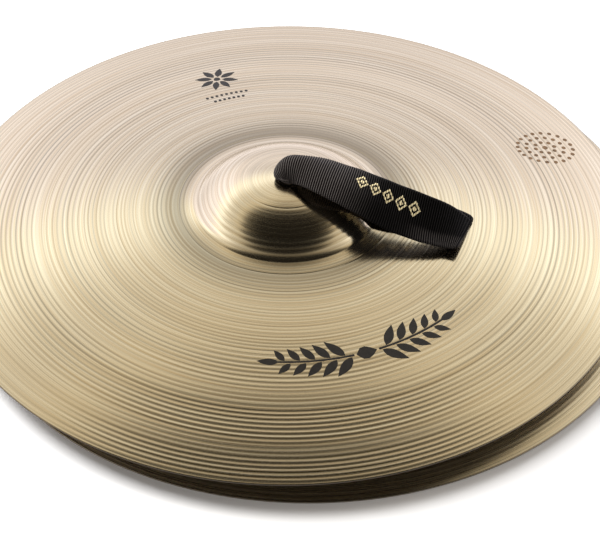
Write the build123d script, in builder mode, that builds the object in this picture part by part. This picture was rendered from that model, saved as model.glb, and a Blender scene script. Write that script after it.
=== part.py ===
"""A pair of 20 inch orchestral hand cymbals, nested bell up on a flat surface.

The lower cymbal stands on its rim and the upper one is stacked on it, slightly off centre.
Each cymbal has a webbing hand strap: a loop outside the bell, a gathered neck through the
centre hole, a leather washer and a flat knot inside the bell, and four loose tails.

Millimetres.  +Z is up.  The origin lies on the surface that the pair stands on, halfway
between the two cymbals' axes.  +X is the direction in which the upper strap lies.
"""
from build123d import *
from math import asin, cos, degrees, radians, sin
import os

# ---- cymbal: a lathe-turned bronze plate, described by its slope angles and arc radii ----
RIM_RADIUS = 254.0
RIM_EDGE = 0.85           # height of the upright edge at the rim
RIM_SEAT = 1.2            # width of the flat ring that the cymbal stands on
HOLE_RADIUS = 6.35
BELL_THICKNESS = 1.5      # the plate thins from here to about 1.1 at the rim
CROWN_RADIUS = 150.0      # top of the bell
SHOULDER_RADIUS = 74.0    # side of the bell
FOOT_RADIUS = 11.0        # hollow curve where the bell meets the bow
CROWN_SLOPE = 12.6        # slopes in degrees, where each arc ends
FLANK_SLOPE = 43.0
FOOT_SLOPE = 4.9
RIM_SLOPE = 11.3

# ---- stack ----
STACK_HEIGHT = 15.0       # upper rim plane above the lower one
STACK_SHIFT_X = -14.7     # upper axis from the lower axis
STACK_SHIFT_Y = -2.2

# ---- webbing strap ----
WEB_WIDTH = 38.0
WEB_THICKNESS = 1.6
WEB_CLEARANCE = 0.4       # resting layer above the plate
LOOP_REACH = 124.0        # from the hole's axis to the start of the end fold
NECK_RADIUS = 5.8
NECK_SLIT = 0.3           # between the two gathered webbing ends
NECK_TOP_DROP = 0.2       # top of the neck below the edge of the hole
ROOT_HALF_WIDTH = 7.0     # the webbing bunched together above the hole
ROOT_LENGTH = 4.0
FLARE_END = 28.0          # the webbing is at full width from here on
ROOT_CLEARANCE = 0.35
UPPER_ROOT_RADIUS = 4.5
LOWER_ROOT_RADIUS = 2.3   # pressed flat below the upper cymbal's knot
LOWER_LAYER_GAP = 3.0     # between the middles of the lower loop's two layers

# upper loop's top layer: level over the hole, a straight run down, then flatter to the fold
RUN_SLOPE = 19.5
RUN_START_RADIUS = 110.0
RUN_END = 85.0
FOLD_SLOPE = 10.0

# ---- washer, knot and tails inside the bell ----
WASHER_RADIUS = 15.0
WASHER_BORE = 6.6
WASHER_THICKNESS = 1.5
WASHER_GAP = 0.1
KNOT_SIDE = 26.0
KNOT_THICKNESS = 5.0
KNOT_CORNER = 4.0
KNOT_EDGE = 1.5
KNOT_CLEARANCE = 0.35
TAIL_WIDTH = 12.0
TAIL_THICKNESS = 1.5
TAIL_OFFSET = 6.5         # each tail leaves its side of the knot off centre, like a pinwheel
TAIL_DEPTH = 5.0          # middle of a tail below the top of the plate
TAIL_REACH = 48.0
TAIL_GAP = 0.1            # between the knot's side and the start of a tail
TAIL_END_RADIUS = 4.0
TAILS = 4


def along(slope):
    """Unit vector square to the plate where it slopes down outwards by so many degrees."""
    return sin(radians(slope)), cos(radians(slope))


def top_arcs():
    """The four tangent arcs of the plate's top: centre r, centre z, signed radius, slopes."""
    radii = (CROWN_RADIUS, SHOULDER_RADIUS, -FOOT_RADIUS, None)
    slopes = (0.0, CROWN_SLOPE, FLANK_SLOPE, FOOT_SLOPE, RIM_SLOPE)
    arcs = []
    r, z = 0.0, 0.0
    for radius, start, end in zip(radii, slopes, slopes[1:]):
        if radius is None:
            radius = (RIM_RADIUS - r) / (along(end)[0] - along(start)[0])
        centre_r = r - radius * along(start)[0]
        centre_z = z - radius * along(start)[1]
        arcs.append((centre_r, centre_z, radius, start, end))
        r = centre_r + radius * along(end)[0]
        z = centre_z + radius * along(end)[1]
    lift = RIM_EDGE - z
    return [(cr, cz + lift, radius, start, end) for cr, cz, radius, start, end in arcs]


CROWN, SHOULDER, FOOT, BOW = top_arcs()
HOLE_SLOPE = degrees(asin(HOLE_RADIUS / CROWN_RADIUS))


def on_arc(arc, slope, gap):
    """Point at a slope of one arc, moved square to the plate by gap."""
    centre_r, centre_z, radius = arc[:3]
    side, up = along(slope)
    return centre_r + (radius + gap) * side, centre_z + (radius + gap) * up


def slope_on(arc, r, gap=0.0):
    """Slope in degrees where an arc, moved by gap, passes the radius r."""
    return degrees(asin((r - arc[0]) / (arc[2] + gap)))


def follow(arc, start, end, gap):
    """The stretch of one arc between two slopes, at a distance from the plate."""
    middle = (start + end) / 2
    return ThreePointArc(on_arc(arc, start, gap), on_arc(arc, middle, gap), on_arc(arc, end, gap))


HOLE_EDGE_Z = on_arc(CROWN, HOLE_SLOPE, 0)[1]
WASHER_LOW = on_arc(CROWN, slope_on(CROWN, WASHER_RADIUS), 0)[1]
WASHER_LOW -= BELL_THICKNESS + WASHER_GAP + WASHER_THICKNESS
KNOT_TOP = WASHER_LOW - KNOT_CLEARANCE
KNOT_MIDDLE = KNOT_TOP - KNOT_THICKNESS / 2
NECK_TOP = HOLE_EDGE_Z - NECK_TOP_DROP
REST_GAP = WEB_CLEARANCE + WEB_THICKNESS / 2


class Place:
    """Where one cymbal of the pair sits, and which way its strap lies."""

    def __init__(self, name, x, y, z, strap_side):
        self.name = name
        self.origin = Vector(x, y, z)
        self.strap_side = strap_side

    def upright(self, turn=0.0, offset=0.0):
        """Upright plane through the axis: local x runs outwards, local y is up."""
        base = Plane(self.origin, x_dir=(self.strap_side, 0, 0), z_dir=(0, -self.strap_side, 0))
        turned = base.rotated((0, 0, turn))
        return turned.offset(offset)

    def level(self, height):
        """Level plane at a height above this cymbal's rim."""
        origin = self.origin + Vector(0, 0, height)
        return Plane(origin, x_dir=(self.strap_side, 0, 0), z_dir=(0, 0, 1))


LOWER = Place("lower", -STACK_SHIFT_X / 2, -STACK_SHIFT_Y / 2, 0.0, -1)
UPPER = Place("upper", STACK_SHIFT_X / 2, STACK_SHIFT_Y / 2, STACK_HEIGHT, 1)


def save(part, name):
    part.label = name
    export_step(part, f"parts/{name}.step")


def make_cymbal(place):
    """The bronze plate: bell, bow and rim, with the centre hole."""
    foot_under = on_arc(FOOT, FOOT_SLOPE, -BELL_THICKNESS)
    side, up = along(FOOT_SLOPE)
    rim_top = (RIM_RADIUS, RIM_EDGE)
    rim_low = (RIM_RADIUS, 0)
    seat_inner = (RIM_RADIUS - RIM_SEAT, 0)
    with BuildPart() as cymbal:
        with BuildSketch(place.upright()):
            with BuildLine():
                follow(CROWN, HOLE_SLOPE, CROWN_SLOPE, 0)
                follow(SHOULDER, CROWN_SLOPE, FLANK_SLOPE, 0)
                follow(FOOT, FLANK_SLOPE, FOOT_SLOPE, 0)
                follow(BOW, FOOT_SLOPE, RIM_SLOPE, 0)
                Polyline(rim_top, rim_low, seat_inner)
                TangentArc(foot_under, seat_inner, tangent=(up, -side))
                follow(FOOT, FLANK_SLOPE, FOOT_SLOPE, -BELL_THICKNESS)
                follow(SHOULDER, CROWN_SLOPE, FLANK_SLOPE, -BELL_THICKNESS)
                under = follow(CROWN, HOLE_SLOPE, CROWN_SLOPE, -BELL_THICKNESS)
                Line(under @ 0, on_arc(CROWN, HOLE_SLOPE, 0))
            make_face()
        revolve(axis=Axis(place.origin, (0, 0, 1)))
    save(cymbal.part, f"{place.name}_cymbal")


def make_washer(place):
    """Dished leather washer between the knot and the inside of the bell."""
    inner = slope_on(CROWN, WASHER_BORE)
    outer = slope_on(CROWN, WASHER_RADIUS)
    high = -BELL_THICKNESS - WASHER_GAP
    low = high - WASHER_THICKNESS
    with BuildPart() as washer:
        with BuildSketch(place.upright()):
            with BuildLine():
                top = follow(CROWN, inner, outer, high)
                bottom = follow(CROWN, inner, outer, low)
                Line(top @ 0, bottom @ 0)
                Line(top @ 1, bottom @ 1)
            make_face()
        revolve(axis=Axis(place.origin, (0, 0, 1)))
    save(washer.part, f"{place.name}_washer")


def make_neck(place):
    """The two gathered webbing ends, side by side through the hole."""
    with BuildPart() as neck:
        with BuildSketch(place.level(KNOT_TOP)):
            Circle(NECK_RADIUS)
            Rectangle(NECK_SLIT, 2 * NECK_RADIUS, mode=Mode.SUBTRACT)
        extrude(amount=NECK_TOP - KNOT_TOP)
    save(neck.part, f"{place.name}_strap_neck")


def make_knot(place):
    """Flat square knot of the four tails."""
    with BuildPart() as knot:
        with BuildSketch(place.level(KNOT_TOP - KNOT_THICKNESS)):
            RectangleRounded(KNOT_SIDE, KNOT_SIDE, KNOT_CORNER)
        extrude(amount=KNOT_THICKNESS)
        fillet(knot.faces().filter_by(Axis.Z).sort_by(Axis.Z)[0].edges(), KNOT_EDGE)
    save(knot.part, f"{place.name}_knot")


def make_tail(place, number):
    """One tail of the webbing, held close under the bell by its own stiffness."""
    start = slope_on(CROWN, KNOT_SIDE / 2 + TAIL_GAP, -TAIL_DEPTH)
    end = slope_on(SHOULDER, TAIL_REACH, -TAIL_DEPTH)
    turn = number * 360 / TAILS
    with BuildPart() as tail:
        with BuildSketch(place.upright(turn, TAIL_OFFSET)):
            with BuildLine():
                follow(CROWN, start, CROWN_SLOPE, -TAIL_DEPTH)
                follow(SHOULDER, CROWN_SLOPE, end, -TAIL_DEPTH)
            trace(line_width=TAIL_THICKNESS)
        extrude(amount=TAIL_WIDTH / 2, both=True)
        outer_end = tail.edges().sort_by_distance(place.origin)[-6:]
        corners = outer_end.filter_by(lambda edge: edge.length < 2 * TAIL_THICKNESS)
        fillet(corners, TAIL_END_RADIUS)
    save(tail.part, f"{place.name}_tail_{number + 1}")


def resting_layer(gap):
    """Webbing that follows the plate from above the hole to the end fold."""
    start = slope_on(CROWN, ROOT_LENGTH / 2)
    end = slope_on(BOW, LOOP_REACH)
    follow(CROWN, start, CROWN_SLOPE, gap)
    follow(SHOULDER, CROWN_SLOPE, FLANK_SLOPE, gap)
    follow(FOOT, FLANK_SLOPE, FOOT_SLOPE, gap)
    return follow(BOW, FOOT_SLOPE, end, gap)


def raised_layer(root_top):
    """Top layer of the upper loop: three tangent stretches down to the end fold."""
    first = JernArc((0, root_top), (1, 0), RUN_START_RADIUS, -RUN_SLOPE)
    run = PolarLine(first @ 1, (RUN_END - (first @ 1).X) / cos(radians(RUN_SLOPE)), -RUN_SLOPE)
    last_radius = (LOOP_REACH - RUN_END) / (along(RUN_SLOPE)[0] - along(FOLD_SLOPE)[0])
    return JernArc(run @ 1, run % 1, last_radius, RUN_SLOPE - FOLD_SLOPE)


def make_loop(place, root_radius, raised):
    """The hand loop: two webbing layers joined by the end fold and bunched at the hole."""
    root_z = HOLE_EDGE_Z + ROOT_CLEARANCE + root_radius
    with BuildPart() as loop:
        with BuildSketch(place.upright()):
            with BuildLine():
                bottom = resting_layer(REST_GAP)
                if raised:
                    top = raised_layer(root_z + root_radius - WEB_THICKNESS / 2)
                else:
                    top = resting_layer(REST_GAP + LOWER_LAYER_GAP)
                fold_radius = ((top @ 1) - (bottom @ 1)).length / 2
                tip = ((top @ 1) + (bottom @ 1)) / 2 + (bottom % 1) * fold_radius
                ThreePointArc(top @ 1, tip, bottom @ 1)
            trace(line_width=WEB_THICKNESS)
            with Locations((0, root_z)):
                Circle(root_radius)
        extrude(amount=WEB_WIDTH / 2, both=True)
        with BuildSketch(place.level(0)):
            with BuildLine():
                half = WEB_WIDTH / 2
                far = LOOP_REACH + WEB_WIDTH
                side = Polyline(
                    (-root_radius, 0),
                    (-root_radius, ROOT_HALF_WIDTH),
                    (ROOT_LENGTH, ROOT_HALF_WIDTH),
                    (FLARE_END, half),
                    (far, half),
                    (far, 0),
                )
                mirror(side, about=Plane.XZ)
            make_face()
        extrude(amount=root_z + WEB_WIDTH, mode=Mode.INTERSECT)
    save(loop.part, f"{place.name}_strap_loop")
    return root_z


os.makedirs("parts", exist_ok=True)
for cymbal_place in (LOWER, UPPER):
    make_cymbal(cymbal_place)
    make_washer(cymbal_place)
    make_neck(cymbal_place)
    make_knot(cymbal_place)
    for tail_number in range(TAILS):
        make_tail(cymbal_place, tail_number)
lower_pivot = make_loop(LOWER, LOWER_ROOT_RADIUS, raised=False)
upper_pivot = make_loop(UPPER, UPPER_ROOT_RADIUS, raised=True) + STACK_HEIGHT

print(f"hole edge {HOLE_EDGE_Z:.2f}, knot {KNOT_TOP - KNOT_THICKNESS:.2f} to {KNOT_TOP:.2f}")
print(f"strap pivots: lower z {lower_pivot:.2f}, upper z {upper_pivot:.2f}")
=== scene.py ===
import math

import bpy
import numpy as np
from mathutils import Matrix, Vector


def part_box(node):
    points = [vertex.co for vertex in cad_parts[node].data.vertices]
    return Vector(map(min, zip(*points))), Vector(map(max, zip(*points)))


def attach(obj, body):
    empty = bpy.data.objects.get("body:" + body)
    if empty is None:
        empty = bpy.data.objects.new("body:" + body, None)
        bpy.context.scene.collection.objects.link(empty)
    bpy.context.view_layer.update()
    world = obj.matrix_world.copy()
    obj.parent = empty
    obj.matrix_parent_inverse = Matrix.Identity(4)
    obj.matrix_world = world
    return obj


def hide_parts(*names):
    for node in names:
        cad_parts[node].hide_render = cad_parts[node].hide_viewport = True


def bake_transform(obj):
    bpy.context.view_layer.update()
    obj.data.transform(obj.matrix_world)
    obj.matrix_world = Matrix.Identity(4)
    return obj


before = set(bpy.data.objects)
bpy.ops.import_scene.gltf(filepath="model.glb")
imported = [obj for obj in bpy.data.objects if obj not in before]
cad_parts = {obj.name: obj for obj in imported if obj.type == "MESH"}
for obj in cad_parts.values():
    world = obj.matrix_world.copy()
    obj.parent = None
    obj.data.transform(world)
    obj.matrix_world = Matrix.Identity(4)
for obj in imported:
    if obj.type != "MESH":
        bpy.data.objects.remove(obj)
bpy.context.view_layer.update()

MM = 0.001

# ---- the cymbal's section, as in the CAD but with a softer foot; degrees and millimetres ----
RIM_RADIUS = 254.0
RIM_EDGE = 0.85
RIM_SEAT = 1.2
HOLE_RADIUS = 6.35
BELL_THICKNESS = 1.5
RIM_THICKNESS = 1.05
ARC_RADII = (150.0, 67.80, -8.0, -85.0, None)       # crown, shoulder, foot, the foot's skirt, bow
ARC_SLOPES = (0.0, 12.6, 44.0, 13.5, 5.3, 11.3)

SEGMENTS = 192
RING_STEP = 0.56                            # between rings where the plate is grooved


def axis_of(node):
    """Centre of a round node, on the level of its rim, in metres."""
    low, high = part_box(node)
    return Vector(((low.x + high.x) / 2, (low.y + high.y) / 2, low.z))


AXIS = {side: axis_of(f"{side}_cymbal") for side in ("lower", "upper")}


# ---------------------------------------------------------------- helpers
def link(obj):
    bpy.context.scene.collection.objects.link(obj)
    return obj


def mesh_object(name, points, faces, at, material):
    """A smooth-shaded piece; points in millimetres from the place at, in metres."""
    mesh = bpy.data.meshes.new(name)
    mesh.from_pydata([tuple(p) for p in np.asarray(points) * MM], [], faces)
    mesh.validate()
    mesh.polygons.foreach_set("use_smooth", [True] * len(mesh.polygons))
    obj = link(bpy.data.objects.new(name, mesh))
    obj.location = at
    mesh.materials.append(material)
    return obj


# ---------------------------------------------------------------- the cymbal's shape
def unit(slope):
    return math.sin(math.radians(slope)), math.cos(math.radians(slope))


def section_arcs():
    """Tangent arcs of the top: centre r, centre z, signed radius, first and last radius r."""
    arcs = []
    r, z = 0.0, 0.0
    for radius, start, end in zip(ARC_RADII, ARC_SLOPES, ARC_SLOPES[1:]):
        if radius is None:
            radius = (RIM_RADIUS - r) / (unit(end)[0] - unit(start)[0])
        centre_r = r - radius * unit(start)[0]
        centre_z = z - radius * unit(start)[1]
        start_r = r
        r = centre_r + radius * unit(end)[0]
        z = centre_z + radius * unit(end)[1]
        arcs.append([centre_r, centre_z, radius, start_r, r])
    for arc in arcs:
        arc[1] += RIM_EDGE - z
    return arcs


ARCS = section_arcs()


def section(r):
    """Height of the plate's top and its slope (radians) at radii r."""
    r = np.asarray(r, float)
    z = np.zeros_like(r)
    slope = np.zeros_like(r)
    for centre_r, centre_z, radius, first, last in ARCS:
        here = (r >= first) & (r <= last + 1e-6)
        sine = np.clip((r - centre_r) / radius, -1, 1)
        angle = np.arcsin(sine)
        z = np.where(here, centre_z + radius * np.cos(angle), z)
        slope = np.where(here, angle, slope)
    return z, slope


# ---- lathe turning; each table is radii in millimetres, then the value at each ----
GROOVE_DEPTH = 0.075
GROOVE_PITCHES = ((0, 70, 98, 140, 150, 254), (3.5, 3.5, 2.95, 2.95, 3.8, 3.65))
FULL_DEPTH_PITCH = 3.6                      # a groove of this pitch has its full depth
GROOVE_SHARES = (                           # of the groove depth
    (0, 31, 34, 45, 50, 66, 71, 86, 100, 140, 148, 176, 182, 192, 198, 218, 224, 231, 236, 252, 254),
    (0, 0, .35, .4, 1, 1, .1, .15, .55, .6, .8, .8, .35, .3, 1.1, 1.1, .5, .5, 1.1, 1.1, 0),
)
WOBBLES = ((0.35, 0.31, 0.0), (0.25, 0.173, 1.0))   # unevenness of the pitch: size, rate, start
GROOVE_SAMPLES = 4000
RINGS = (32.5, 78.6)                        # single rings cut round the bell
RING_WIDTH = 0.45
RING_DEPTH = 1.2                            # as a share of the groove depth
VALLEY_SHARPNESS = 2.2
VALLEY_SHADE_WEIGHTS = np.random.default_rng(7).uniform(0.25, 1.5, 97)     # no two valleys are equally dark
# painted shade along the groove valleys, by radius
VALLEY_SHADE_SHARES = ((0, 31, 45, 50, 66, 74, 140, 165, 180, 196, 222, 230, 254),
               (0.1, 0.5, 0.5, 0.25, 0.3, 1, 0.85, 1, 0.75, 1, 1, 0.4, 0.4))
# painted shade by radius: darker round the bell's foot and at the rim's edge
RADIAL_PAINTED_SHADE = ((0, 68, 70, 72, 74, 76, 78, 80, 84, 88, 92, 97, 102, 110, 140, 253.3, 253.7, 254),
         (1, 1, .98, .9, .8, .68, .57, .53, .58, .68, .77, .86, .92, .96, 1, 1, .3, .3))


def groove(r):
    """Depth of the lathe grooves at radii r, and how much painted shade each radius gets as a dark
    valley line.
    """
    pitch = np.interp(r, *GROOVE_PITCHES)
    fine = np.linspace(0, RIM_RADIUS, GROOVE_SAMPLES)
    fine_pitch = np.interp(fine, *GROOVE_PITCHES)
    wobble = sum(size * np.sin(fine * rate + start) for size, rate, start in WOBBLES)
    phase = np.cumsum(2 * math.pi / fine_pitch) * (fine[1] - fine[0]) + wobble
    wave = np.interp(r, fine, phase)
    share = np.interp(r, *GROOVE_SHARES)
    scallop = 0.5 - 0.5 * np.cos(wave)
    rings = sum(np.exp(-((r - ring) / RING_WIDTH) ** 2) for ring in RINGS)
    weight = VALLEY_SHADE_WEIGHTS[np.round(wave / (2 * math.pi)).astype(int) % len(VALLEY_SHADE_WEIGHTS)]
    depth = GROOVE_DEPTH * (share * scallop * (pitch / FULL_DEPTH_PITCH) + RING_DEPTH * rings)
    return depth, scallop ** VALLEY_SHARPNESS * weight


def valley_shade_share(r):
    """How dark the painted shade along the valley lines is at radii r, from 0 to 1."""
    return np.interp(r, *VALLEY_SHADE_SHARES)


def radial_painted_shade(r):
    """Painted shade by radius, as a share of the bronze's brightness: darker round the bell's foot and
    at the rim's edge.
    """
    return np.interp(r, *RADIAL_PAINTED_SHADE)


# ---- rings of points on a plate ----
SMOOTH_CROWN = 31                           # no grooves inside this radius
CROWN_RINGS = 12
FOOT_START, FOOT_END = 70, 85               # finer rings in between
FOOT_STEP = 0.4
TOP_END = 0.3                               # the last ring's distance from the rim
RIM_PROFILE = ((0.12, RIM_EDGE - 0.02), (0, RIM_EDGE - 0.18), (0, 0.12), (0.12, 0.0), (RIM_SEAT, 0.0))
UNDER_BOW_STEP, UNDER_BELL_STEP = 3.6, 2.2
THINNING_START = 79                         # the plate thins from here to the rim
SHARP_ANGLE = 40


def cymbal_mesh(side, material, under_material):
    """The whole plate as one closed skin: grooved top, rim, plainer underside, hole."""
    top_r = np.concatenate([
        np.linspace(HOLE_RADIUS, SMOOTH_CROWN, CROWN_RINGS)[:-1],
        np.arange(SMOOTH_CROWN, FOOT_START, RING_STEP),
        np.arange(FOOT_START, FOOT_END, FOOT_STEP),
        np.arange(FOOT_END, RIM_RADIUS - TOP_END, RING_STEP),
    ])
    z, slope = section(top_r)
    depth, valley = groove(top_r)
    out_r = top_r - depth * np.sin(slope)
    out_z = z - depth * np.cos(slope)
    rim = [(RIM_RADIUS - inward, height) for inward, height in RIM_PROFILE]
    under_r = np.concatenate([
        np.arange(RIM_RADIUS - RIM_SEAT - 2, FOOT_END, -UNDER_BOW_STEP),
        np.arange(FOOT_END - 1, SMOOTH_CROWN, -UNDER_BELL_STEP),
        np.linspace(SMOOTH_CROWN - 1, HOLE_RADIUS, CROWN_RINGS // 2),
    ])
    z, slope = section(under_r)
    thick = np.interp(under_r, (THINNING_START, RIM_RADIUS), (BELL_THICKNESS, RIM_THICKNESS))
    low_r = under_r - thick * np.sin(slope)
    low_z = z - thick * np.cos(slope)
    low_r[-1] = HOLE_RADIUS
    rings = list(zip(out_r, out_z)) + rim + list(zip(low_r, low_z))
    turn = np.arange(SEGMENTS) * 2 * math.pi / SEGMENTS
    points = np.concatenate([
        np.stack([r * np.cos(turn), r * np.sin(turn), np.full(SEGMENTS, h)], axis=1) for r, h in rings
    ])
    faces = []
    count = len(rings)
    for i in range(count):
        a, b = i * SEGMENTS, ((i + 1) % count) * SEGMENTS
        for j in range(SEGMENTS):
            k = (j + 1) % SEGMENTS
            faces.append((a + j, b + j, b + k, a + k))
    obj = mesh_object(f"{side}_plate", points, faces, AXIS[side], material)
    obj.data.materials.append(under_material)
    layer = obj.data.uv_layers.new(name="turning")      # painted shade: along the valley lines, and by radius round the foot and at the rim's edge
    index = np.zeros(len(obj.data.loops), np.int32)
    obj.data.loops.foreach_get("vertex_index", index)
    ring_r = np.array([r for r, _ in rings])
    line = np.zeros(count)
    line[:len(top_r)] = valley * valley_shade_share(top_r)
    uv = np.stack([line[index // SEGMENTS], radial_painted_shade(ring_r)[index // SEGMENTS]], axis=1)
    layer.data.foreach_set("uv", uv.astype(np.float32).ravel())
    # the rim's edge and the underside take the darker bronze, a painted shade
    first_under = (len(out_r) + 1) * SEGMENTS
    for polygon in obj.data.polygons:
        polygon.material_index = 1 if polygon.index >= first_under else 0
    obj.data.set_sharp_from_angle(angle=math.radians(SHARP_ANGLE))
    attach(obj, f"{side}_cymbal")
    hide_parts(f"{side}_cymbal")
    return obj


# ---------------------------------------------------------------- the webbing straps
WEB_THICKNESS = 1.6
WEB_WIDTH = 38.0
RIB_PITCH = 1.7
RIB_HEIGHT = 0.4
STEPS_PER_RIB = 6
ACROSS = 29                                 # points across the webbing
STRAP_SPIN = {"lower": 180.0, "upper": 0.0}  # the upper strap lies along +X
REST_GAP = 1.25                             # middle of a resting layer above the plate
LOWER_LAYER_GAP = 3.0                       # between the middles of the lower strap's two layers
TOWARD_VIEWER = (0.26, 1.12)                # along and across the strap, as the arch is raised by 1
# by distance from the webbing's edge: the body's thickness as a share, and the ribs' height as a share
BODY_SHARES = ((0, 0.5, 1.3, 2.2), (0.45, 0.95, 1.05, 0.92))
RIB_SHARES = ((0.8, 1.8), (0.25, 1.0))
RIB_BASE = 1.2                              # shifts the ribs' wave so that valleys go below the body


def plate_top(r):
    return float(section([r])[0][0])


def smooth_rows(rows, step):
    """Catmull-Rom through rows of numbers, whose first two are a path, at even steps along it."""
    rows = np.asarray(rows, float)
    padded = np.vstack([2 * rows[0] - rows[1], rows, 2 * rows[-1] - rows[-2]])
    t = np.linspace(0, 1, 24, endpoint=False)[:, None]
    pieces = []
    for p0, p1, p2, p3 in zip(padded, padded[1:], padded[2:], padded[3:]):
        pieces.append(0.5 * (2 * p1 + (p2 - p0) * t + (2 * p0 - 5 * p1 + 4 * p2 - p3) * t ** 2
                             + (3 * p1 - p0 - 3 * p2 + p3) * t ** 3))
    dense = np.vstack(pieces + [rows[-1:]])
    run = np.concatenate([[0], np.cumsum(np.linalg.norm(np.diff(dense[:, :2], axis=0), axis=1))])
    count = int(run[-1] / step)
    even = np.linspace(0, run[-1], count + 1)
    return even, np.stack([np.interp(even, run, column) for column in dense.T], axis=1)


def curled(width, turn, flat, across):
    """A line of the given length bent round by turn degrees, and flattened to the share flat."""
    angle = math.radians(max(turn, 0.5)) / 2 * np.linspace(-1, 1, across)
    u, v = np.sin(angle), flat * (np.cos(angle) - 1)
    scale = width / np.hypot(np.diff(u), np.diff(v)).sum()
    return u * scale, v * scale


def webbing_grid(rows, step, across):
    """Middle surface of a strip. A row is x, z, width, turn, flat, sideways shift, tilt, flare, yaw."""
    run, rows = smooth_rows([(*row, 0)[:9] for row in rows], step)
    x, z, width, turn, flat, shift, tilt, flare, yaw = rows.T
    ahead_x, ahead_z = np.gradient(x), np.gradient(z)
    length = np.hypot(ahead_x, ahead_z)
    out_x, out_z = -ahead_z / length, ahead_x / length
    w = np.linspace(-1, 1, across)
    near = np.clip((-w - 0.3) / 0.7, 0, 1) ** 1.5
    grid = np.zeros((len(run), across, 3))
    for i in range(len(run)):
        u, v = curled(width[i], turn[i], flat[i], across)
        v = v + flare[i] * near
        lean = math.radians(tilt[i])
        grid[i, :, 0] = x[i] + v * out_x[i] + u * math.sin(math.radians(yaw[i]))
        grid[i, :, 1] = shift[i] + u * math.cos(lean)
        grid[i, :, 2] = z[i] + v * out_z[i] + u * math.sin(lean)
    return run, w, grid


def strip_mesh(name, run, w, grid, width, material, at, spin=0.0, thickness=WEB_THICKNESS):
    """A closed ribbed strip round its middle surface, turned about its cymbal's axis by spin degrees."""
    along = np.gradient(grid, axis=0)
    across = np.gradient(grid, axis=1)
    normal = np.cross(along, across)
    normal /= np.maximum(np.linalg.norm(normal, axis=2, keepdims=True), 1e-9)
    edge = np.minimum(1 + w, 1 - w) * width / 2         # distance from the nearer edge
    body = np.interp(edge, *BODY_SHARES)
    ribbed = np.interp(edge, *RIB_SHARES) * RIB_HEIGHT * thickness / WEB_THICKNESS
    cord = 2 * np.abs(np.sin(np.pi * run / RIB_PITCH)) - RIB_BASE
    half = thickness / 2 * body[None, :] + cord[:, None] * ribbed[None, :]
    top = grid + normal * half[:, :, None]
    low = grid - normal * half[:, :, None]
    rows, columns = grid.shape[:2]
    points = np.concatenate([top.reshape(-1, 3), low.reshape(-1, 3)])
    cosine, sine = math.cos(math.radians(spin)), math.sin(math.radians(spin))
    points = points @ np.array(((cosine, sine, 0), (-sine, cosine, 0), (0, 0, 1)))
    base = rows * columns
    faces = []
    for i in range(rows - 1):
        for j in range(columns - 1):
            a = i * columns + j
            faces.append((a, a + columns, a + columns + 1, a + 1))
            faces.append((base + a, base + a + 1, base + a + columns + 1, base + a + columns))
        for j in (0, columns - 1):
            a, b = i * columns + j, (i + 1) * columns + j
            faces.append((a, base + a, base + b, b) if j == 0 else (a, b, base + b, base + a))
    for i in (0, rows - 1):
        for j in range(columns - 1):
            a = i * columns + j
            cap = (a, a + 1, base + a + 1, base + a)
            faces.append(cap if i == 0 else (cap[0], cap[3], cap[2], cap[1]))
    obj = mesh_object(name, points, faces, at, material)
    layer = obj.data.uv_layers.new(name="weave")
    index = np.zeros(len(obj.data.loops), np.int32)
    obj.data.loops.foreach_get("vertex_index", index)
    index %= base
    uv = np.stack([run[index // columns], w[index % columns] * width / 2], axis=1)
    layer.data.foreach_set("uv", uv.astype(np.float32).ravel())
    return obj


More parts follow.
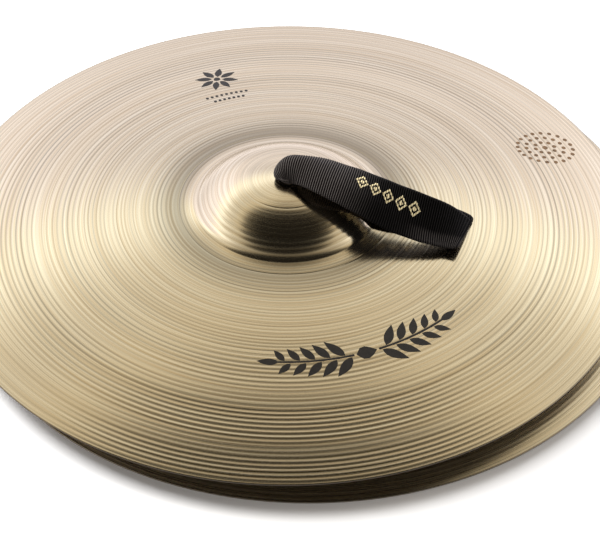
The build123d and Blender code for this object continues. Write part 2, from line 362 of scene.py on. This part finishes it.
def upper_rows():
    """The upper strap: rolled in the hole, a hood above it, the hand's layer, the fold, the return."""
    full = WEB_WIDTH
    rows = [
        # x, z, width, turn, flat, shift, tilt, flare
        (-4.6, 46.2, 31, 330, 1, 0, 0, 0), (-5.2, 50.6, 31, 325, 1, -0.4, 0, 0),
        (-7.0, 52.3, 33, 295, 1, -2.6, 0, 0), (-7.9, 54.9, 35, 268, 1, -3.4, 0, 0),
        (-7.7, 58.0, 36.6, 248, 1, -3.0, 2, 0), (-5.4, 62.0, 37.6, 232, 1, -1.8, 3, 0),
        (-1.6, 65.3, full, 215, 1, -0.6, 3, 0),
        (3.5, 66.8, full, 202, 1, 0, 2, 0), (9.0, 67.2, full, 178, 1, 0, 2, 0),
        (14.0, 66.8, full, 140, 1, 0, 1, 0),
    ]
    arch = [                                # the same, and how far the arch is raised to the viewer
        ((20.0, 65.0, 98, 0, 0.5, -0.8), 1.2), ((28.0, 61.8, 66, 0, 0, -2.2), 3.4),
        ((40.0, 57.4, 48, 0, 0.9, -3.0), 6.2), ((50.0, 53.3, 38, 0, 5.5, -3.0), 7.8),
        ((60.0, 48.6, 28, 0, 8.7, -2.5), 8.6), ((70.0, 43.2, 15, 0, 14.8, -1.5), 9.0),
        ((80.0, 38.0, 5, 0, 21.0, 0), 9.0), ((90.0, 34.4, 1, 0, 25.9, 1.8), 8.6),
        ((100.0, 31.2, 1, 0, 28.5, 3.3), 7.6), ((110.0, 28.6, 1, 0.3, 26.0, 4.4), 5.6),
        ((118.5, 27.4, 1, 0.4, 15.0, 2.6), 2.6), ((124.5, 26.6, 1, 0, 5.0, 1.2), 0.9),
    ]
    for (x, z, turn, shift, tilt, flare), lift in arch:
        x, shift = x + TOWARD_VIEWER[0] * lift, shift - TOWARD_VIEWER[1] * lift
        rows.append((x, z + lift, full, turn, 1, shift, tilt, flare))
    rows += [
        (128.6, 25.9, full, 1, 1, -0.4, -3, 0.3, 3), (130.8, 24.7, full, 1, 1, 0.4, -8, 0, 5),
        (131.2, 23.4, full, 1, 1, 3, -4, 0, 5),
        (128.0, plate_top(128.0) + REST_GAP + 0.2, full, 1, 1, 6, 0, 0, 3),
    ]
    back = (                                # the return layer: x, height above rest, turn, shift
        (118, 0, 2, 8.5), (105, 0, 3, 9), (92, 0, 3, 9), (82, 0.4, 3, 8), (74, 1.6, 3, 8),
        (66, 1.8, 3, 7.5), (58, 0.6, 4, 6.5), (49, 0.2, 8, 4), (39, 0.4, 24, 1), (28, 0.5, 56, 0),
    )
    for x, lift, turn, shift in back:
        rows.append((x, plate_top(x) + REST_GAP + lift, full, turn, 1, shift, 0, 0))
    rows += [
        (19, 51.6, 34, 110, 1, 0, 0, 0), (12, 53.0, 29, 170, 1, 0, 0, 0),
        (6.5, 53.4, 25, 230, 1, 0, 0, 0), (3.9, 51.2, 22, 290, 1, 0, 0, 0),
        (3.4, 46.2, 21, 320, 1, 0, 0, 0),
    ]
    return rows


def lower_rows():
    """The lower strap, pressed flat between the plates; the same route at smaller heights."""
    full = WEB_WIDTH
    rows = [
        (-4.6, 46.2, 31, 330, 1, 0, 0, 0), (-5.0, 50.4, 31, 325, 0.9, 0, 0, 0),
        (-5.8, 52.8, 32, 310, 0.5, 0, 0, 0), (-4.4, 54.7, 34, 300, 0.16, 0, 0, 0),
        (0, 55.4, 36, 285, 0.12, 0, 0, 0), (6, 55.4, full, 262, 0.12, 0, 0, 0),
        (14, 54.8, full, 235, 0.12, 0, 0, 0), (22, 53.4, full, 180, 0.12, 0, 0, 0),
        (30, 51.2, full, 110, 0.2, 0, 0, 0),
    ]
    outward = (                             # the hand's layer: x, turn
        (38, 50), (46, 30), (54, 20), (61, 12), (67, 8), (73, 5), (80, 4), (92, 3), (106, 2), (118, 2),
    )
    for x, turn in outward:
        rows.append((x, plate_top(x) + REST_GAP + LOWER_LAYER_GAP, full, turn, 1, 0, 0, 0))
    rows += [
        (123.5, plate_top(123.5) + REST_GAP + 2.9, full, 1, 1, 0.3, 0, 0),
        (125.8, plate_top(125.8) + REST_GAP + 1.5, full, 1, 1, 0.6, 0, 0),
        (123.5, plate_top(123.5) + REST_GAP, full, 1, 1, 0.9, 0, 0),
    ]
    back = [(x, 1) for x in (116, 104, 92, 80, 73, 67, 61, 54, 46)] + [(38, 2), (30, 6)]
    for x, turn in back:
        rows.append((x, plate_top(x) + REST_GAP, full, turn, 1, 1, 0, 0))
    rows += [
        (22, plate_top(22) + REST_GAP, 34, 10, 1, 0, 0, 0),
        (14, plate_top(14) + REST_GAP, 26, 20, 1, 0, 0, 0),
        (7.5, 51.9, 20, 60, 1, 0, 0, 0), (4.2, 50.6, 18, 200, 1, 0, 0, 0),
        (3.4, 46.2, 18, 300, 1, 0, 0, 0),
    ]
    return rows


def make_strap(side, rows, material):
    """The whole strap outside the bell as one strip."""
    run, w, grid = webbing_grid(rows, RIB_PITCH / STEPS_PER_RIB, ACROSS)
    obj = strip_mesh(f"{side}_webbing", run, w, grid, WEB_WIDTH, material, AXIS[side], STRAP_SPIN[side])
    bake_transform(obj)
    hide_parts(f"{side}_strap_loop", f"{side}_strap_neck")
    return obj


TAIL_WIDTH = 12.0
TAIL_THICKNESS = 1.2
TAIL_OFFSET = 6.5
TAIL_DEPTH = 5.0
TAILS = 4
TAIL_STEPS_PER_RIB = 4
TAIL_ACROSS = 13                            # points across a tail
KNOT_TOP_DEPTH = 4.05                       # below the edge of the hole
KNOT_LAYER = 2.5                            # between the knot's two woven layers
KNOT_REACH = 11.2                           # where a band folds back round the knot's side
WEAVE = 0.62                                # a band's rise and fall as it crosses its neighbours


def tail_rows(knot_top):
    """One tail: back across the top of the knot, round its side, woven across below, and out."""
    high, low = knot_top - KNOT_LAYER / 2, knot_top - KNOT_LAYER * 1.5
    path = [
        (9.0, high + 0.3), (0, high), (-KNOT_REACH, high), (-KNOT_REACH - 1.25, high - KNOT_LAYER / 2),
        (-KNOT_REACH, low + 0.1), (-TAIL_OFFSET, low + WEAVE), (0, low), (TAIL_OFFSET, low - WEAVE),
        (12.5, low + 0.1), (18, low + 0.6), (24, plate_top(24) - TAIL_DEPTH - 0.7),
    ]
    path += [(x, plate_top(x) - TAIL_DEPTH - 0.2 * i) for i, x in enumerate((31, 38, 43.5))]
    rows = [(x, z, TAIL_WIDTH, 4, 1, -TAIL_OFFSET, 0, 0) for x, z in path]
    end_x, end_z = 46.3, plate_top(46.3) - TAIL_DEPTH - 0.8
    return rows + [(end_x, end_z, TAIL_WIDTH - 1.5, 10, 1, -TAIL_OFFSET, 0, 0)]


def make_tails(side, material):
    """The flat knot inside the bell, which is four woven bands, and their loose ends."""
    hole_edge = plate_top(HOLE_RADIUS)
    run, w, grid = webbing_grid(
        tail_rows(hole_edge - KNOT_TOP_DEPTH), RIB_PITCH / TAIL_STEPS_PER_RIB, TAIL_ACROSS)
    for number in range(TAILS):
        spin = STRAP_SPIN[side] + number * 360 / TAILS
        name = f"{side}_band_{number + 1}"
        obj = strip_mesh(name, run, w, grid, TAIL_WIDTH, material, AXIS[side], spin, TAIL_THICKNESS)
        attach(obj, f"{side}_knot")
        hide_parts(f"{side}_tail_{number + 1}", f"{side}_knot")


# ---------------------------------------------------------------- printed and stamped ornaments
INK_HEIGHT = 0.05                           # above the plate's crests
INK_ROOT = -0.12                            # the ink's lower face, inside the plate
# radius and azimuth of each ornament on the upper plate
SPRIG_AT = (157, -54.7)
ROSETTE_AT = (172, 124)
OVAL_AT = (213, 38.6)


def leaf(length, width, at=(0, 0), turn=0.0, steps=9):
    """Outline of a pointed leaf that starts at a point and lies at turn degrees."""
    t = np.linspace(0, 1, steps)
    half = width / 2 * np.sin(np.pi * t ** 0.8)
    upper = np.stack([t * length, half], 1)
    lower = np.stack([t * length, -half], 1)[-2:0:-1]
    outline = np.concatenate([upper, lower])
    cosine, sine = math.cos(math.radians(turn)), math.sin(math.radians(turn))
    return outline @ np.array(((cosine, sine), (-sine, cosine))) + np.array(at)


def disc(radius, at=(0, 0), corners=12):
    turn = np.arange(corners) * 2 * math.pi / corners
    return np.stack([np.cos(turn), np.sin(turn)], 1) * radius + np.array(at)


def ornament(name, outlines, radius, azimuth, material):
    """Thin flat shapes laid on the upper plate; x runs round the plate and y outwards."""
    points, faces = [], []
    for outline in outlines:
        ring = np.vstack([outline, outline.mean(axis=0)])
        r = radius + ring[:, 1]
        turn = math.radians(azimuth) + ring[:, 0] / radius
        z = section(r)[0]
        count = len(outline)
        first = len(points)
        for lift in (INK_HEIGHT, INK_ROOT):
            points += list(np.stack([r * np.cos(turn), r * np.sin(turn), z + lift], 1))
        low = first + count + 1
        for i in range(count):
            k = (i + 1) % count
            faces.append((first + i, first + k, first + count))
            faces.append((low + k, low + i, low + count))
            faces.append((first + k, first + i, low + i, low + k))
    obj = mesh_object(name, points, faces, AXIS["upper"], material)
    obj.data.polygons.foreach_set("use_smooth", [False] * len(obj.data.polygons))
    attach(obj, "upper_cymbal")
    return obj


def sprig():
    """Two leafy twigs that part from a small lozenge."""
    outlines = [leaf(15, 11, (-7.5, 0), 0, 5)]
    for side in (-1, 1):
        lean = 0 if side > 0 else 180
        for i in range(5):
            start = side * (11 + 10.5 * i)
            stem = np.array(((start - side * 2, 0.9), (start + side * 9.5, 0.75),
                             (start + side * 9.5, -0.75), (start - side * 2, -0.9)))
            outlines.append(stem)
            length, width = 19 - 1.8 * i, 7.0 - 0.5 * i
            outlines.append(leaf(length, width, (start, 1.2), lean + side * 48))
            outlines.append(leaf(length, width, (start + side * 4, -1.2), lean - side * 48))
        outlines.append(leaf(15, 5.5, (side * 61, 0), lean))
    return outlines


def rosette():
    """Eight petals round a disc, over two short rows of dots."""
    outlines = [disc(2.6)]
    outlines += [leaf(13, 5.4, (4 * math.cos(a), 4 * math.sin(a)), math.degrees(a))
                 for a in np.arange(8) * math.pi / 4 + math.pi / 8]
    for row, count in ((-25, 9), (-32, 7)):
        outlines += [disc(1.5, ((i - (count - 1) / 2) * 4.6, row), 8) for i in range(count)]
    return outlines


def dotted_oval():
    """Three rings of small stamped dots."""
    outlines = [disc(2.2)]
    for size, count in ((8, 8), (15, 14), (22, 20)):
        for i in range(count):
            turn = 2 * math.pi * i / count
            outlines.append(disc(1.7, (0.85 * size * math.cos(turn), size * math.sin(turn)), 8))
    return outlines


# ---------------------------------------------------------------- materials
def new_material(name):
    material = bpy.data.materials.new(name)
    material.use_nodes = True
    tree = material.node_tree
    return material, tree, tree.nodes["Principled BSDF"]


def node(tree, kind, **values):
    made = tree.nodes.new(kind)
    for key, value in values.items():
        if key.startswith("in_"):
            made.inputs[key[3:].replace("_", " ")].default_value = value
        else:
            setattr(made, key, value)
    return made


def map_range(tree, source, limits, **settings):
    """A source's value moved from one range to another; limits are both ends of each range."""
    made = node(tree, "ShaderNodeMapRange", **settings)
    for socket, value in zip(("From Min", "From Max", "To Min", "To Max"), limits):
        made.inputs[socket].default_value = value
    tree.links.new(source, made.inputs[0])
    return made.outputs[0]


# how far the painted shade darkens the groove valleys
VALLEY_SHADE_DARKNESS = 0.36
DARK_BRONZE, PALE_BRONZE = (0.80, 0.67, 0.46), (1.0, 0.91, 0.70)


def bronze(name, roughness, shade=1.0):
    """Lathe-turned bronze: streaked highlights, fine turning lines, slight warm clouding, painted shade
    along the groove valleys and by radius, and more painted shade when shade is below 1.
    """
    material, tree, shader = new_material(name)
    links = tree.links
    place = node(tree, "ShaderNodeTexCoord")
    flat = node(tree, "ShaderNodeVectorMath", operation="MULTIPLY")
    flat.inputs[1].default_value = (1000, 1000, 0)
    links.new(place.outputs["Object"], flat.inputs[0])
    radius = node(tree, "ShaderNodeVectorMath", operation="LENGTH")
    links.new(flat.outputs[0], radius.inputs[0])
    spread = node(tree, "ShaderNodeVectorMath", operation="SCALE")
    spread.inputs["Scale"].default_value = 0.004
    links.new(flat.outputs[0], spread.inputs[0])
    lane = node(tree, "ShaderNodeCombineXYZ")
    links.new(radius.outputs["Value"], lane.inputs["Z"])
    where = node(tree, "ShaderNodeVectorMath", operation="ADD")
    links.new(spread.outputs[0], where.inputs[0])
    links.new(lane.outputs[0], where.inputs[1])

    lines = node(tree, "ShaderNodeTexNoise", in_Scale=1.6, in_Detail=3.0, in_Roughness=0.6)
    links.new(where.outputs[0], lines.inputs["Vector"])
    bump = node(tree, "ShaderNodeBump", in_Strength=0.12, in_Distance=0.0002)
    links.new(lines.outputs["Fac"], bump.inputs["Height"])
    links.new(bump.outputs[0], shader.inputs["Normal"])

    broad = node(tree, "ShaderNodeTexNoise", in_Scale=0.8, in_Detail=2.0, in_Roughness=0.7)
    links.new(where.outputs[0], broad.inputs["Vector"])
    mixed = math_node(tree, "MULTIPLY_ADD", broad.outputs["Fac"], 0.6,
                      math_node(tree, "MULTIPLY", lines.outputs["Fac"], 0.4))
    tint = node(tree, "ShaderNodeValToRGB")
    tint.color_ramp.elements[0].position = 0.36
    # shade below 1 darkens the whole colour: a painted shade
    tint.color_ramp.elements[0].color = (*(part * shade for part in DARK_BRONZE), 1)
    tint.color_ramp.elements[1].position = 0.62
    tint.color_ramp.elements[1].color = (*(part * shade for part in PALE_BRONZE), 1)
    links.new(mixed, tint.inputs[0])
    turning = node(tree, "ShaderNodeUVMap", uv_map="turning")
    split = node(tree, "ShaderNodeSeparateXYZ")
    links.new(turning.outputs[0], split.inputs[0])
    # painted shade: darker along the groove valleys, and by radius from the map's second value
    kept = math_node(tree, "MULTIPLY_ADD", split.outputs["X"], -VALLEY_SHADE_DARKNESS, 1.0)
    level = math_node(tree, "MULTIPLY", kept, split.outputs["Y"])
    final = node(tree, "ShaderNodeVectorMath", operation="SCALE")
    links.new(tint.outputs[0], final.inputs[0])
    links.new(level, final.inputs["Scale"])
    links.new(final.outputs[0], shader.inputs["Base Color"])

    rough = node(tree, "ShaderNodeMapRange", in_To_Min=roughness - 0.05, in_To_Max=roughness + 0.05)
    links.new(lines.outputs["Fac"], rough.inputs[0])
    links.new(rough.outputs[0], shader.inputs["Roughness"])
    shader.inputs["Metallic"].default_value = 1.0
    shader.inputs["Anisotropic"].default_value = 0.6
    shader.inputs["Anisotropic Rotation"].default_value = 0.25
    tangent = node(tree, "ShaderNodeTangent", direction_type="RADIAL", axis="Z")
    links.new(tangent.outputs[0], shader.inputs["Tangent"])
    return material


def math_node(tree, operation, first, second=None, third=None):
    made = tree.nodes.new("ShaderNodeMath")
    made.operation = operation
    for socket, value in zip(made.inputs, (first, second, third)):
        if isinstance(value, bpy.types.NodeSocket):
            tree.links.new(value, socket)
        elif value is not None:
            socket.default_value = value
    return made.outputs[0]


# gold lozenges woven into the upper strap: along its strip, across it, half sizes, in millimetres
LOZENGES = {
    "first": 76.0, "pitch": 10.6, "count": 5, "across": 5.0, "half_length": 4.8, "half_width": 6.4,
}
# where the painted highlight on the rib crests starts and stops, along or across in millimetres, and its
# shares there
PAINTED_HIGHLIGHT_SPANS = {
    "bend": (62.0, 100.0, 1.0, 0.14),
    "end": (112.0, 135.0, 0.0, 1.0),
    "near": (-3.0, -9.0, 0.0, 0.6),
}
YARN_WIDTH = 1.05
# rib valleys: the black yarn darkened further as painted shade; rib crests: a painted highlight
VALLEY_BLACK = (0.0004, 0.0004, 0.0004, 1)
CREST_PAINTED_HIGHLIGHT = (0.135, 0.119, 0.110, 1)
GOLD_YARN = (0.83, 0.72, 0.44, 1)


def arches(tree, source):
    """0 at whole numbers of the source and 1 halfway between them."""
    wave = math_node(tree, "SINE", math_node(tree, "MULTIPLY", source, math.pi))
    return math_node(tree, "ABSOLUTE", wave)


def webbing(emblem=False):
    """Black nylon webbing: a painted highlight on each rib's crest and painted shade in the valleys, and
    for the upper strap a woven gold band.
    """
    material, tree, shader = new_material("webbing_marked" if emblem else "webbing")
    links = tree.links
    place = node(tree, "ShaderNodeUVMap", uv_map="weave")
    split = node(tree, "ShaderNodeSeparateXYZ")
    links.new(place.outputs[0], split.inputs[0])
    along, across = split.outputs["X"], split.outputs["Y"]
    ribs = math_node(tree, "DIVIDE", along, RIB_PITCH)
    rib = math_node(tree, "FLOOR", ribs)
    yarn = math_node(tree, "MULTIPLY_ADD", across, 1 / YARN_WIDTH, math_node(tree, "MULTIPLY", rib, 0.5))
    stitch = arches(tree, yarn)
    fuzz = node(tree, "ShaderNodeTexNoise", in_Scale=900.0, in_Detail=2.0)
    body = node(tree, "ShaderNodeTexCoord")
    links.new(body.outputs["Object"], fuzz.inputs["Vector"])
    relief = math_node(tree, "MULTIPLY_ADD", fuzz.outputs["Fac"], 0.5, stitch)
    bump = node(tree, "ShaderNodeBump", in_Strength=0.5, in_Distance=0.00018)
    links.new(relief, bump.inputs["Height"])
    links.new(bump.outputs[0], shader.inputs["Normal"])
    shade = node(tree, "ShaderNodeMix", data_type="RGBA")
    # painted highlight on the rib crests, painted shade in the valleys
    crest = arches(tree, ribs)
    crest_highlight = math_node(tree, "MULTIPLY", math_node(tree, "POWER", crest, 5.0),
                      math_node(tree, "MULTIPLY_ADD", stitch, 0.6, 0.4))
    if emblem:
        # painted highlight: paler crests over the bell and at the strap's near end
        crest_highlight = math_node(tree, "MULTIPLY", crest_highlight, painted_highlight_share(tree, along, across))
    links.new(crest_highlight, shade.inputs["Factor"])
    shade.inputs["A"].default_value = VALLEY_BLACK
    shade.inputs["B"].default_value = CREST_PAINTED_HIGHLIGHT
    colour = shade.outputs["Result"]
    if emblem:
        mark = node(tree, "ShaderNodeMix", data_type="RGBA")
        links.new(woven_mark(tree, along, across), mark.inputs["Factor"])
        links.new(colour, mark.inputs["A"])
        mark.inputs["B"].default_value = GOLD_YARN
        colour = mark.outputs["Result"]
    links.new(colour, shader.inputs["Base Color"])
    rough = node(tree, "ShaderNodeMapRange", in_To_Min=0.5, in_To_Max=0.36)
    links.new(stitch, rough.inputs[0])
    links.new(rough.outputs[0], shader.inputs["Roughness"])
    shader.inputs["Specular IOR Level"].default_value = 0.05
    return material


def painted_highlight_share(tree, along, across):
    """Share of painted highlight on the ribs' crests: more over the bell and at the strap's near end."""
    bend, end, near = (
        map_range(tree, source, PAINTED_HIGHLIGHT_SPANS[key], interpolation_type="SMOOTHSTEP")
        for source, key in ((along, "bend"), (along, "end"), (across, "near"))
    )
    return math_node(tree, "MAXIMUM", bend, math_node(tree, "MULTIPLY", end, near))


RING_INSIDE, CORE_SIZE = 0.68, 0.36         # as shares of a lozenge


def woven_mark(tree, along, across):
    """1 inside a row of lozenges, each a ring round a small solid one."""
    size = LOZENGES
    place = math_node(tree, "DIVIDE", math_node(tree, "SUBTRACT", along, size["first"]), size["pitch"])
    inside = math_node(tree, "MULTIPLY", math_node(tree, "GREATER_THAN", place, 0.0),
                       math_node(tree, "LESS_THAN", place, float(size["count"])))
    local = math_node(tree, "SUBTRACT", math_node(tree, "FRACT", place), 0.5)
    reach = math_node(tree, "MULTIPLY", math_node(tree, "ABSOLUTE", local),
                      size["pitch"] / size["half_length"])
    side = math_node(tree, "ABSOLUTE", math_node(tree, "SUBTRACT", across, size["across"]))
    far = math_node(tree, "ADD", reach, math_node(tree, "DIVIDE", side, size["half_width"]))
    ring = math_node(tree, "MULTIPLY", math_node(tree, "LESS_THAN", far, 1.0),
                     math_node(tree, "GREATER_THAN", far, RING_INSIDE))
    core = math_node(tree, "LESS_THAN", far, CORE_SIZE)
    return math_node(tree, "MULTIPLY", inside, math_node(tree, "MAXIMUM", ring, core))


def ink(name, colour, rough):
    """Printed or burnt marks: nearly even, a little worn."""
    material, tree, shader = new_material(name)
    place = node(tree, "ShaderNodeTexCoord")
    wear = node(tree, "ShaderNodeTexNoise", in_Scale=400.0, in_Detail=3.0)
    tree.links.new(place.outputs["Object"], wear.inputs["Vector"])
    shade = node(tree, "ShaderNodeValToRGB")
    shade.color_ramp.elements[0].position = 0.35
    shade.color_ramp.elements[0].color = (*colour, 1)
    shade.color_ramp.elements[1].position = 0.75
    shade.color_ramp.elements[1].color = (*(min(1.0, 2.2 * c) for c in colour), 1)
    tree.links.new(wear.outputs["Fac"], shade.inputs[0])
    tree.links.new(shade.outputs[0], shader.inputs["Base Color"])
    shader.inputs["Roughness"].default_value = rough
    return material


def leather():
    """Dark tanned leather: fine grain, uneven colour."""
    material, tree, shader = new_material("leather")
    place = node(tree, "ShaderNodeTexCoord")
    grain = node(tree, "ShaderNodeTexVoronoi", in_Scale=1400.0)
    cloud = node(tree, "ShaderNodeTexNoise", in_Scale=180.0, in_Detail=4.0)
    for texture in (grain, cloud):
        tree.links.new(place.outputs["Object"], texture.inputs["Vector"])
    shade = node(tree, "ShaderNodeValToRGB")
    shade.color_ramp.elements[0].color = (0.035, 0.018, 0.010, 1)
    shade.color_ramp.elements[1].color = (0.14, 0.075, 0.040, 1)
    tree.links.new(cloud.outputs["Fac"], shade.inputs[0])
    tree.links.new(shade.outputs[0], shader.inputs["Base Color"])
    bump = node(tree, "ShaderNodeBump", in_Strength=0.35, in_Distance=0.0002)
    tree.links.new(grain.outputs["Distance"], bump.inputs["Height"])
    tree.links.new(bump.outputs[0], shader.inputs["Normal"])
    rough = node(tree, "ShaderNodeMapRange", in_To_Min=0.5, in_To_Max=0.75)
    tree.links.new(cloud.outputs["Fac"], rough.inputs[0])
    tree.links.new(rough.outputs[0], shader.inputs["Roughness"])
    return material


def floor_paint():
    """Matt white, without highlights."""
    material, _, shader = new_material("floor_paint")
    shader.inputs["Base Color"].default_value = (0.93, 0.93, 0.93, 1)
    shader.inputs["Roughness"].default_value = 0.9
    shader.inputs["Specular IOR Level"].default_value = 0.0
    return material


# ---------------------------------------------------------------- stage, light, camera
CAMERA_AZIMUTH = 15.0
CAMERA_ELEVATION = 41.91
DARK_LEAN = 8.5                             # degrees by which the dark ceiling leans to the camera
COOL, WHITE = (1.0, 0.95, 1.05), (1.0, 0.985, 0.93)
WARM, BROWN = (1.06, 0.98, 0.84), (1.12, 0.97, 0.72)
SKY = (                 # elevation on the far side, brightness straight behind, at the sides, tint
    (-60, 1.40, 1.40, COOL), (-12, 1.35, 1.30, COOL), (-3, 0.95, 1.0, COOL), (8, 0.74, 0.88, COOL),
    (15, 0.80, 1.0, COOL), (20, 0.97, 1.05, COOL), (24, 0.90, 1.10, COOL), (28, 0.67, 1.12, COOL),
    (31, 0.63, 1.12, COOL), (34, 0.80, 1.18, COOL), (37, 1.05, 1.28, WHITE), (40, 1.22, 1.38, WHITE),
    (43, 1.12, 1.14, WHITE), (47, 0.76, 0.78, WARM), (50, 0.66, 0.66, WARM), (54, 0.66, 0.60, WARM),
    (58, 0.68, 0.60, BROWN), (61, 0.58, 0.46, BROWN), (64, 0.16, 0.12, BROWN), (67, 0.05, 0.05, BROWN),
    (75, 0.01, 0.01, BROWN),
)
SIDE_START, SIDE_END = 0.12, 0.42           # sideways part of a direction, where the sides take over
NEAR_SIDE = (0.0, 0.6, 1.0, 0.55)           # part of a direction towards the camera, strength there


CAMERA_DISTANCE = 1.6
CAMERA_LENS, CAMERA_SENSOR = 131.9, 36
CAMERA_AIM = (-0.0057, -0.0277, 0)          # from the lower cymbal's axis, in the camera's turn
FLOOR_HALF_SIZE = 6.0
LAMP = {"size": (1.8, 1.8), "at": (-2.4, 1.1, 1.75), "look": (0, 0, 0), "power": 240}


def make_stage():
    size = FLOOR_HALF_SIZE
    corners = [(-size, -size, 0), (size, -size, 0), (size, size, 0), (-size, size, 0)]
    mesh = bpy.data.meshes.new("floor")
    mesh.from_pydata(corners, [], [(0, 1, 2, 3)])
    mesh.materials.append(floor_paint())
    floor = link(bpy.data.objects.new("floor", mesh))
    floor.visible_glossy = False


def make_world():
    """Bright walls and a dark ceiling; the dark part reaches lower on the camera's side."""
    world = bpy.data.worlds.new("studio")
    bpy.context.scene.world = world
    world.use_nodes = True
    tree = world.node_tree
    back = tree.nodes["Background"]
    way = node(tree, "ShaderNodeTexCoord")
    turn = Matrix.Rotation(math.radians(CAMERA_AZIMUTH), 3, "Z")
    lean = math.radians(DARK_LEAN)
    pole = turn @ Vector((0, -math.sin(lean), math.cos(lean)))
    height = node(tree, "ShaderNodeVectorMath", operation="DOT_PRODUCT")
    height.inputs[1].default_value = pole
    tree.links.new(way.outputs["Generated"], height.inputs[0])
    ramps = []
    for column in (1, 2):
        ramp = node(tree, "ShaderNodeValToRGB")
        elements = ramp.color_ramp.elements
        for _ in SKY[2:]:
            elements.new(0.5)
        for element, stop in zip(elements, SKY):
            element.position = 0.5 + 0.5 * math.sin(math.radians(stop[0] - DARK_LEAN))
            element.color = (*(stop[column] * c for c in stop[3]), 1)
        rise = math_node(tree, "MULTIPLY_ADD", height.outputs["Value"], 0.5, 0.5)
        tree.links.new(rise, ramp.inputs[0])
        ramps.append(ramp.outputs[0])
    sideways, toward = (
        node(tree, "ShaderNodeVectorMath", operation="DOT_PRODUCT") for _ in range(2)
    )
    for part, direction in ((sideways, (1, 0, 0)), (toward, (0, -1, 0))):
        part.inputs[1].default_value = turn @ Vector(direction)
        tree.links.new(way.outputs["Generated"], part.inputs[0])
    side_part = math_node(tree, "ABSOLUTE", sideways.outputs["Value"])
    share = map_range(tree, side_part, (SIDE_START, SIDE_END, 0.0, 1.0), interpolation_type="SMOOTHSTEP")
    both = node(tree, "ShaderNodeMix", data_type="RGBA")
    tree.links.new(share, both.inputs["Factor"])
    tree.links.new(ramps[0], both.inputs["A"])
    tree.links.new(ramps[1], both.inputs["B"])
    dim = map_range(tree, toward.outputs["Value"], NEAR_SIDE, interpolation_type="SMOOTHSTEP")
    tree.links.new(both.outputs["Result"], back.inputs["Color"])
    tree.links.new(dim, back.inputs["Strength"])


def area_light(name, size, at, look, power):
    """A rectangular lamp that reflections don't show."""
    data = bpy.data.lights.new(name, "AREA")
    data.shape = "RECTANGLE"
    data.size, data.size_y = size
    data.energy = power
    lamp = link(bpy.data.objects.new(name, data))
    lamp.location = at
    lamp.rotation_euler = (Vector(look) - Vector(at)).to_track_quat("-Z", "Y").to_euler()
    lamp.visible_glossy = False


def make_camera():
    """A long lens that looks down at the pair, turned a little towards the upper strap."""
    turn = math.radians(CAMERA_AZIMUTH)
    tilt = math.radians(CAMERA_ELEVATION)
    aim = AXIS["lower"] + Matrix.Rotation(turn, 3, "Z") @ Vector(CAMERA_AIM)
    back = Vector((math.sin(turn) * math.cos(tilt), -math.cos(turn) * math.cos(tilt), math.sin(tilt)))
    data = bpy.data.cameras.new("camera")
    data.lens = CAMERA_LENS
    data.sensor_width = CAMERA_SENSOR
    camera = link(bpy.data.objects.new("camera", data))
    camera.location = aim + CAMERA_DISTANCE * back
    camera.rotation_euler = (-back).to_track_quat("-Z", "Y").to_euler()
    bpy.context.scene.camera = camera


make_stage()
make_world()
make_camera()
area_light("overhead", **LAMP)
bpy.context.scene.view_settings.view_transform = "Standard"

BRONZE = {"upper": bronze("bronze", 0.18), "lower": bronze("bronze_worn", 0.28)}
# a darker copy of the bronze: painted shade on the plates' undersides and rim edges
SHADED_UNDERSIDE = bronze("bronze_underside_painted_shade", 0.3, shade=0.4)
WEBBING = webbing()
LEATHER = leather()
for side in ("lower", "upper"):
    cymbal_mesh(side, BRONZE[side], SHADED_UNDERSIDE)
    make_tails(side, WEBBING)
    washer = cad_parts[f"{side}_washer"]
    washer.data.materials.clear()
    washer.data.materials.append(LEATHER)
make_strap("upper", upper_rows(), webbing(emblem=True))
make_strap("lower", lower_rows(), WEBBING)
PRINT = ink("printed_black", (0.006, 0.005, 0.004), 0.4)
STAMP = ink("stamped_brown", (0.10, 0.055, 0.022), 0.45)
ornament("upper_print_sprig", sprig(), *SPRIG_AT, PRINT)
ornament("upper_print_rosette", rosette(), *ROSETTE_AT, PRINT)
ornament("upper_stamp_oval", dotted_oval(), *OVAL_AT, STAMP)
